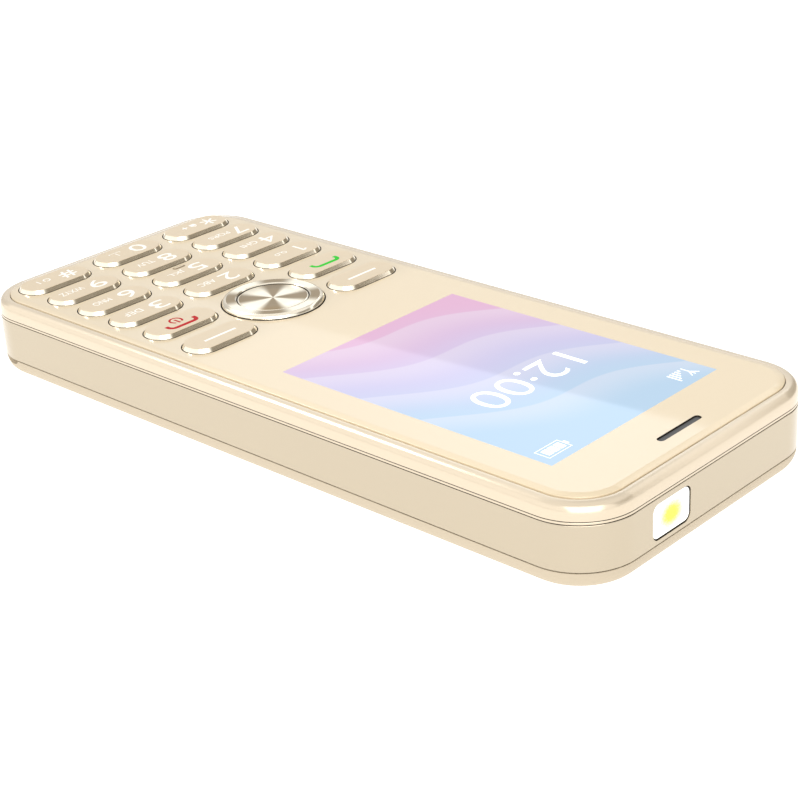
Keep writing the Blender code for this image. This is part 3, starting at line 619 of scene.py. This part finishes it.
def make_band():
    """Side band with softened edges, the torch window and the openings at the lower end."""
    low, high = BAND_LOW.z, BAND_HIGH.z
    soft = 0.06 * MM
    bm = bmesh.new()
    rings = [(body_outline(soft), low), (body_outline(0.0), low + soft), (body_outline(0.0), high - soft),
             (body_outline(soft), high), (body_outline(1.2 * MM), high), (body_outline(1.2 * MM), low)]
    skin(bm, rings, closed=True)
    band = link_mesh("side_band", bm, [MATERIALS["band"]])
    holes = bmesh.new()
    torch = middle("torch_lens")
    end_block(holes, torch.x, torch.z, (4.1 * MM, 2.6 * MM), 1.2 * MM, (60.0 * MM, 64.0 * MM))
    usb = middle("usb_port")
    end_block(holes, usb.x, usb.z + 0.1 * MM, (4.0 * MM, 1.45 * MM), 0.6 * MM, (-64.0 * MM, -60.0 * MM))
    jack = middle("audio_jack")
    end_block(holes, jack.x, 5.7 * MM, (2.7 * MM, 2.7 * MM), 2.69 * MM, (-64.0 * MM, -60.0 * MM))
    microphone = middle("microphone")
    end_block(holes, microphone.x, 5.7 * MM, (0.5 * MM, 0.5 * MM), 0.49 * MM, (-64.0 * MM, -60.0 * MM))
    cut(band, holes)
    settle(band, "root", ["mid_frame"])


def quarter_curve(inset, reach, drop, top, steps):
    """Body outlines down a quarter ellipse, from the rim at top inwards."""
    rings = []
    for step in range(steps + 1):
        angle = step / steps * math.pi / 2
        rings.append((body_outline(inset + reach * (1 - math.cos(angle))), top - drop * math.sin(angle)))
    return rings


def make_cover():
    """Back cover with a rolled edge, speaker slots and a nail notch."""
    rim = COVER_HIGH.z
    outer = quarter_curve(0.0, 2.1 * MM, rim, rim - 0.03 * MM, 14)
    outer = [(outline, max(z, 0.0)) for outline, z in outer]
    inner = quarter_curve(1.0 * MM, 1.6 * MM, rim - 1.0 * MM, rim, 6)
    bm = bmesh.new()
    skin(bm, outer[::-1] + [(body_outline(0.04 * MM), rim)] + inner)
    cover = link_mesh("rear_cover", bm, [MATERIALS["cover"]])
    speaker = middle("loudspeaker")
    slots = bmesh.new()
    outlines = [stadium((9.0 - 1.6 * abs(row)) * MM, 0.9 * MM, (speaker.x, speaker.y + row * 1.9 * MM))
                for row in range(-2, 3)]
    add_mesh(slots, plate_mesh(outlines, -1.0 * MM, 2.0 * MM))
    cut(cover, slots)
    notch = bmesh.new()
    bmesh.ops.create_uvsphere(notch, u_segments=24, v_segments=16, radius=1.0)
    bmesh.ops.scale(notch, verts=notch.verts, vec=(1.1 * MM, 1.7 * MM, 0.75 * MM))
    bmesh.ops.translate(notch, verts=notch.verts, vec=(HALF_X - 0.1 * MM, -55.2 * MM, rim))
    cut(cover, notch)
    settle(cover, "back_cover", ["back_cover"])


def make_torch():
    torch = middle("torch_lens")
    low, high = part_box("torch_lens")
    bm = bmesh.new()
    half = (3.93 * MM, 2.43 * MM)
    soft = 0.08 * MM
    front = high.y - torch.y
    shelf = 60.9 * MM - torch.y
    outlines = [(0.4, low.y - torch.y), (0.4, shelf), (0.0, shelf), (0.0, front - soft), (-0.08, front)]
    layers = []
    for grow, y in outlines:
        outline = rounded_rect(half[0] + grow * MM, half[1] + grow * MM, (1.05 + grow) * MM, steps=10)
        layers.append([bm.verts.new((u, y, v)) for u, v in outline])
    for row, (first, second) in enumerate(zip(layers, layers[1:])):
        for i in range(len(first)):
            j = (i + 1) % len(first)
            side = bm.faces.new((first[i], first[j], second[j], second[i]))
            # The rear rows take the deck's dark brown, a painted shade inside the band's opening.
            side.material_index = 1 if row < 3 else 0
    bm.faces.new(layers[0])
    bm.faces.new(layers[-1])
    lens = link_mesh("torch_window", bm, [MATERIALS["torch"], MATERIALS["deck"]])
    lens.location = torch
    settle(lens, "root", ["torch_lens"])


# ---- print and signs -----------------------------------------------------------------------
def write(bm, words, height, centre, z, width=None, weight=0.0):
    """Flat lettering, scaled to a height and, if given, a width, about its centre."""
    text = bpy.data.curves.new("words", "FONT")
    text.body = words
    text.extrude = 0.02
    text.offset = weight
    mesh = evaluated_mesh(text)
    xs = [v.co.x for v in mesh.vertices]
    ys = [v.co.y for v in mesh.vertices]
    scale_y = height / (max(ys) - min(ys))
    scale_x = width / (max(xs) - min(xs)) if width else scale_y
    for vertex in mesh.vertices:
        vertex.co.x = (vertex.co.x - (min(xs) + max(xs)) / 2) * scale_x + centre[0]
        vertex.co.y = (vertex.co.y - (min(ys) + max(ys)) / 2) * scale_y + centre[1]
        vertex.co.z = z if vertex.co.z > 0 else z - 2 * PRINT
    bm.from_mesh(mesh)
    bpy.data.meshes.remove(mesh)


def rect(bm, low, high, z):
    made = bmesh.ops.create_cube(bm, size=1.0)["verts"]
    bmesh.ops.scale(bm, verts=made, vec=(high[0] - low[0], high[1] - low[1], 2 * PRINT))
    bmesh.ops.translate(bm, verts=made, vec=((low[0] + high[0]) / 2, (low[1] + high[1]) / 2, z - PRINT))


def stroke(bm, points, width, z, cyclic=False):
    """A flat rounded line through points."""
    curve = bpy.data.curves.new("stroke", "CURVE")
    curve.dimensions = "3D"
    curve.bevel_depth = width / 2
    curve.bevel_resolution = 3
    curve.use_fill_caps = True
    spline = curve.splines.new("POLY")
    spline.points.add(len(points) - 1)
    for point, (x, y) in zip(spline.points, points):
        point.co = (x, y, 0.0, 1.0)
    spline.use_cyclic_u = cyclic
    mesh = evaluated_mesh(curve)
    for vertex in mesh.vertices:
        vertex.co.z = z - PRINT + vertex.co.z * 2 * PRINT / width
    bm.from_mesh(mesh)
    bpy.data.meshes.remove(mesh)


def arc_points(centre, radius, start, end, steps=24):
    return [(centre[0] + radius * math.cos(math.radians(start + (end - start) * i / steps)),
             centre[1] + radius * math.sin(math.radians(start + (end - start) * i / steps)))
            for i in range(steps + 1)]


def handset(bm, centre, z):
    """The raised-receiver sign: a flat bow with turned-down ends."""
    x, y = centre
    bow = [(x - 2.65 * MM, y - 0.8 * MM)]
    bow += arc_points((x - 1.75 * MM, y - 0.3 * MM), 0.9 * MM, 180, 90, 8)
    bow += arc_points((x + 1.75 * MM, y - 0.3 * MM), 0.9 * MM, 90, 0, 8)
    bow.append((x + 2.65 * MM, y - 0.8 * MM))
    stroke(bm, bow, 0.72 * MM, z)


# ---- keys ----------------------------------------------------------------------------------
LETTERS = {"2": "ABC", "3": "DEF", "4": "GHI", "5": "JKL", "6": "MNO", "7": "PQRS", "8": "TUV", "9": "WXYZ"}
DIGIT_SHIFT = {-1: -2.85 * MM, 0: -2.15 * MM, 1: -2.6 * MM}
LETTER_SHIFT = {-1: 1.05 * MM, 0: 2.1 * MM, 1: 2.1 * MM}


def make_key(name):
    """Keycap: satin top, polished sloping side, flange below the deck."""
    centre = middle(name).xy
    low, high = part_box(name)
    def ring(grow, z):
        return stadium(*KEY_OPENING, (0.0, 0.0), grow), z
    bm = bmesh.new()
    shoulder = LENS_TOP + 0.03 * MM
    slope = 0.36 * MM
    skirt = [ring(0.35 * MM, low.z), ring(0.35 * MM, 10.35 * MM), ring(-KEY_GAP, 10.35 * MM),
             ring(-KEY_GAP, shoulder)]
    cap = [skirt[-1], ring(-KEY_GAP - slope, high.z - 0.05 * MM), ring(-KEY_GAP - slope - 0.07 * MM, high.z)]
    skin(bm, skirt + cap[1:], material_index=1)
    # Faces below the lens top take the deck's dark brown, a painted shade for the gap around the key.
    for face in bm.faces:
        height = face.calc_center_median().z
        if height > high.z - 0.04 * MM:
            face.material_index = 0
        elif height < shoulder - 0.01 * MM:
            face.material_index = 2
    cap = link_mesh(name + "_cap", bm, [MATERIALS["key"], MATERIALS["key_edge"], MATERIALS["deck"]], 20)
    cap.location = (*centre, 0.0)
    settle(cap, name, [name])
    make_legend(name, centre, high.z + PRINT)


def make_legend(name, centre, z):
    bm = bmesh.new()
    x, y = centre
    column = round(x / (15.3 * MM))
    label = name.split("_")[1]
    ink = "ink"
    digit = (x + DIGIT_SHIFT[column], y + 0.12 * MM)
    small = (x + LETTER_SHIFT[column], y - 0.45 * MM)
    if label == "soft":
        stroke(bm, [(x - 3.1 * MM, y + 0.15 * MM), (x + 3.1 * MM, y + 0.15 * MM)], 0.5 * MM, z)
    elif label == "call":
        ink = "green_ink"
        handset(bm, (x - 0.4 * MM, y + 0.4 * MM), z)
    elif label == "end":
        ink = "red_ink"
        handset(bm, (x + 0.3 * MM, y + 0.9 * MM), z)
        hub = (x + 0.3 * MM, y - 0.75 * MM)
        stroke(bm, arc_points(hub, 0.98 * MM, 125, 415), 0.36 * MM, z)
        stroke(bm, [(hub[0], hub[1] - 0.35 * MM), (hub[0], hub[1] + 1.1 * MM)], 0.36 * MM, z)
    elif label == "star":
        for angle in (30, 90, 150):
            arm = Vector((math.cos(math.radians(angle)), math.sin(math.radians(angle)))) * 1.5 * MM
            stroke(bm, [tuple(Vector(digit) - arm), tuple(Vector(digit) + arm)], 0.38 * MM, z)
        rect(bm, (small[0] - 1.5 * MM, small[1] - 0.6 * MM), (small[0] - 0.3 * MM, small[1] + 0.25 * MM), z)
        stroke(bm, arc_points((small[0] - 0.9 * MM, small[1] + 0.25 * MM), 0.38 * MM, 0, 180), 0.18 * MM, z)
        write(bm, "+", 1.15 * MM, (small[0] + 1.0 * MM, small[1]), z, weight=0.02)
    elif label == "hash":
        write(bm, "#", 2.9 * MM, digit, z, 2.9 * MM, 0.012)
        stroke(bm, arc_points((small[0] - 0.8 * MM, small[1]), 0.55 * MM, 60, 400), 0.2 * MM, z)
        stroke(bm, [(small[0] + 0.8 * MM, small[1] - 0.7 * MM), (small[0] + 0.8 * MM, small[1] + 0.7 * MM)],
               0.2 * MM, z)
    else:
        if label == "1":
            top = digit[1] + 1.45 * MM
            stroke(bm, [(digit[0] + 0.3 * MM, digit[1] - 1.45 * MM), (digit[0] + 0.3 * MM, top)],
                   0.42 * MM, z)
            stroke(bm, [(digit[0] + 0.3 * MM, top), (digit[0] - 0.5 * MM, top - 0.55 * MM)], 0.36 * MM, z)
        else:
            write(bm, label, 3.15 * MM, digit, z, 2.8 * MM)
        if label in LETTERS:
            write(bm, LETTERS[label], 1.35 * MM, small, z, (0.05 + 1.1 * len(LETTERS[label])) * MM)
        elif label == "1":
            for side in (-1, 1):
                loop = arc_points((small[0] + side * 0.75 * MM, small[1]), 0.42 * MM, 0, 360)
                stroke(bm, loop, 0.15 * MM, z)
            stroke(bm, [(small[0] - 0.8 * MM, small[1] - 0.42 * MM), (small[0] + 0.8 * MM, small[1] - 0.42 * MM)],
                   0.15 * MM, z)
        else:
            tray = [(small[0] - 1.1 * MM, small[1] - 0.2 * MM), (small[0] - 1.1 * MM, small[1] - 0.6 * MM),
                    (small[0] + 1.1 * MM, small[1] - 0.6 * MM), (small[0] + 1.1 * MM, small[1] - 0.2 * MM)]
            stroke(bm, tray, 0.16 * MM, z)
            stroke(bm, [(small[0], small[1] - 0.2 * MM), (small[0], small[1] + 1.1 * MM)], 0.16 * MM, z)
    legend = link_mesh(name + "_legend", bm, [MATERIALS[ink]])
    settle(legend, name)
    if label == "5":
        make_tactile_bar(name, (x, y - 2.1 * MM), z - PRINT)


def make_tactile_bar(name, centre, z):
    bm = bmesh.new()
    foot = stadium(2.5 * MM, 0.95 * MM, centre)
    crown = stadium(2.5 * MM, 0.95 * MM, centre, -0.3 * MM)
    skin(bm, [(foot, z - 0.05 * MM), (foot, z), (crown, z + 0.09 * MM)])
    # The sides of the bar take the darker brown, a painted shade; the crown takes the key colour.
    for face in bm.faces:
        if face.calc_center_median().z > z + 0.08 * MM:
            face.material_index = 1
    bar = link_mesh(name + "_tactile_bar", bm, [MATERIALS["bar_edge_painted_shade"], MATERIALS["key"]])
    settle(bar, name)


def make_ring():
    """Four-way ring: turned face between two polished chamfers."""
    low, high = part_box("nav_ring")
    top = high.z
    inner = 5.76 * MM
    profile = [(inner + 0.2 * MM, top), (7.38 * MM, top), (7.6 * MM, top - 0.06 * MM),
               (7.82 * MM, top - 0.17 * MM),
               (7.95 * MM, top - 0.32 * MM), (8.08 * MM, top - 0.62 * MM), (8.08 * MM, 10.14 * MM),
               (8.6 * MM, 10.14 * MM), (8.6 * MM, low.z), (6.8 * MM, low.z), (6.8 * MM, 10.7 * MM),
               (inner, 10.7 * MM), (inner, top - 0.16 * MM)]
    metals = [MATERIALS[key] for key in ("turned", "rim", "deck")]
    ring = turned("nav_ring_turned", NAV.xy, profile, metals, smooth_angle=25)
    # Faces below the lens top take the deck's dark brown, a painted shade in the recess.
    for polygon in ring.data.polygons:
        radius = polygon.center.xy.length
        polygon.material_index = 1 if radius > 7.4 * MM or radius < inner + 0.18 * MM else 0
        if polygon.center.z < LENS_TOP:
            polygon.material_index = 2
    settle(ring, "nav_ring", ["nav_ring"])


def make_ok():
    """Centre button with a shallow dish and a polished rim."""
    low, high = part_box("ok_button")
    top = high.z
    outer = 5.62 * MM
    profile = [(0.0, top - 0.06 * MM), (3.0 * MM, top - 0.045 * MM), (5.38 * MM, top),
               (outer - 0.06 * MM, top - 0.07 * MM), (outer, top - 0.14 * MM), (outer, 10.3 * MM), (6.4 * MM, 10.3 * MM), (6.4 * MM, low.z), (0.0, low.z)]
    metals = [MATERIALS[key] for key in ("turned", "rim", "deck")]
    button = turned("ok_button_turned", NAV.xy, profile, metals, smooth_angle=25)
    # Faces below the lens top take the deck's dark brown, a painted shade in the recess.
    for polygon in button.data.polygons:
        polygon.material_index = 1 if polygon.center.xy.length > 5.4 * MM else 0
        if polygon.center.z < LENS_TOP:
            polygon.material_index = 2
    settle(button, "ok_button", ["ok_button"])


# ---- pieces kept from the CAD --------------------------------------------------------------
def dress(node, key):
    """Give a CAD node a detailed material."""
    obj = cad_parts[node]
    obj.data.materials.clear()
    obj.data.materials.append(MATERIALS[key])


def dress_cad_nodes():
    finishes = {"black": ["rear_frame", "battery_contacts", "loudspeaker", "audio_jack"],
                "steel": ["display_tray", "keypad_dome_sheet", "sim_holder", "memory_card_holder", "shield_can",
                          "vibration_motor", "microphone", "usb_port", "earpiece_receiver"],
                "rubber": ["keypad_membrane", "nav_pad"], "board": ["main_board"], "copper": ["antenna"],
                "wrap": ["battery"], "mesh": ["earpiece_grille"], "torch": ["torch_led"], "deck": ["display_panel"]}
    finishes["steel"] += [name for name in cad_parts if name.startswith("screw_")]
    for key, nodes in finishes.items():
        for node in nodes:
            dress(node, key)


# ---- studio --------------------------------------------------------------------------------
def make_floor():
    """Plain white table under the part, lit evenly from below."""
    bm = bmesh.new()
    bmesh.ops.create_grid(bm, x_segments=1, y_segments=1, size=4.0)
    mat, graph, shader = new_material("floor_white", Roughness=0.9)
    tone = graph.noise(3.0, 2.0)
    graph.feed(shader.inputs["Base Color"], graph.mix(tone, (0.2, 0.2, 0.2, 1.0), (0.22, 0.22, 0.22, 1.0)))
    shader.inputs["Emission Color"].default_value = (1.0, 1.0, 1.0, 1.0)
    shader.inputs["Emission Strength"].default_value = 1.25
    link_mesh("floor", bm, [mat])


def area_light(name, place, target, size, power, spread=180):
    data = bpy.data.lights.new(name, "AREA")
    data.shape = "RECTANGLE"
    data.size, data.size_y = size
    data.energy = power
    data.spread = math.radians(spread)
    light = bpy.data.objects.new(name, data)
    light.location = place
    light.rotation_euler = (Vector(target) - Vector(place)).to_track_quat("-Z", "Y").to_euler()
    light.visible_camera = False
    light.visible_diffuse = False
    bpy.context.scene.collection.objects.link(light)


def make_world():
    """White surround with a softbox, a ceiling, and narrower panels that give the glossy edges their
    bright lines and the lens its diagonal glare."""
    world = bpy.data.worlds.new("studio")
    world.use_nodes = True
    bpy.context.scene.world = world
    graph = Graph(world.node_tree)
    x, y, z = graph.place("Generated")
    front = x + y * 0.15
    softbox = front.step(-0.04, 0.04) * z.step(0.02, 0.1) * z.step(0.78, 0.7) * 0.75
    card = front.step(-0.06, -0.14) * y.step(0.05, 0.2) * z.step(0.22, 0.3) * z.step(0.66, 0.6)
    card = card * x.step(-0.705, -0.69)
    edge = x.step(-0.775, -0.79) * y.step(-0.4, -0.2) * z.step(0.02, 0.1) * z.step(0.66, 0.6)
    card = card.math("MAXIMUM", edge)
    left = x.step(-0.69, -0.705) * x.step(-0.79, -0.775) * y.step(-0.45, -0.3) * z.step(0.06, 0.16) * 1.1
    brow = y.step(-0.45, -0.55) * x.step(0.2, 0.1) * z.step(0.5, 0.58) * z.step(0.8, 0.74) * 0.7
    ceiling = z.step(0.66, 0.82) * 0.4
    glare_line = [Vector((-1.9, 51.0, LENS_TOP / MM)), Vector((2.84, 1.0, LENS_TOP / MM))]
    first, second = (point - MIRRORED_CAMERA / MM for point in glare_line)
    normal = first.cross(second).normalized()
    side = x * normal.x + y * normal.y + z * normal.z
    panel = side.step(0.0, 0.002) * z.step(0.5, 0.49) * y.step(-0.25, -0.35) * x.step(-0.4, -0.5)
    panel = panel * (y.step(-0.72, -0.54) * 0.9 + y.step(-0.76, -0.72) * 0.5)
    rear = x.step(-0.3, -0.45) * y.step(-0.25, -0.4) * z.step(0.15, 0.25) * z.step(0.56, 0.5) * 0.25
    level = softbox + ceiling + left + brow + rear + 0.72
    tints = [level + panel * share - card * shadow
            for share, shadow in ((0.8, 0.37), (0.9, 0.4), (1.0, 0.45))]
    background = world.node_tree.nodes["Background"]
    graph.feed(background.inputs["Color"], graph.vector(*tints))
    background.inputs["Strength"].default_value = 1.0


def make_camera():
    data = bpy.data.cameras.new("camera")
    data.lens = 82.2
    data.sensor_width = 36.0
    data.clip_start = 0.01
    camera = bpy.data.objects.new("camera", data)
    camera.location = CAMERA_PLACE
    camera.rotation_euler = Euler([math.radians(a) for a in (65.07, 3.03, 132.77)])
    bpy.context.scene.collection.objects.link(camera)
    bpy.context.scene.camera = camera


def make_studio():
    make_camera()
    make_floor()
    make_world()
    area_light("corner_strip", (0.18, 0.23, 0.15), (0.022, 0.058, 0.01), (0.28, 0.36), 0.7)
    area_light("far_rail", (0.02, -0.42, 0.5), (0.026, 0.0, 0.012), (0.3, 0.12), 0.9)
    view = bpy.context.scene.view_settings
    view.view_transform = "Standard"
    view.look = "None"


# ---- build ---------------------------------------------------------------------------------
make_studio()
make_bezel()
make_faceplate()
make_screen()
make_band()
make_cover()
make_torch()
for key_name in KEYS:
    make_key(key_name)
make_ring()
make_ok()
dress_cad_nodes()
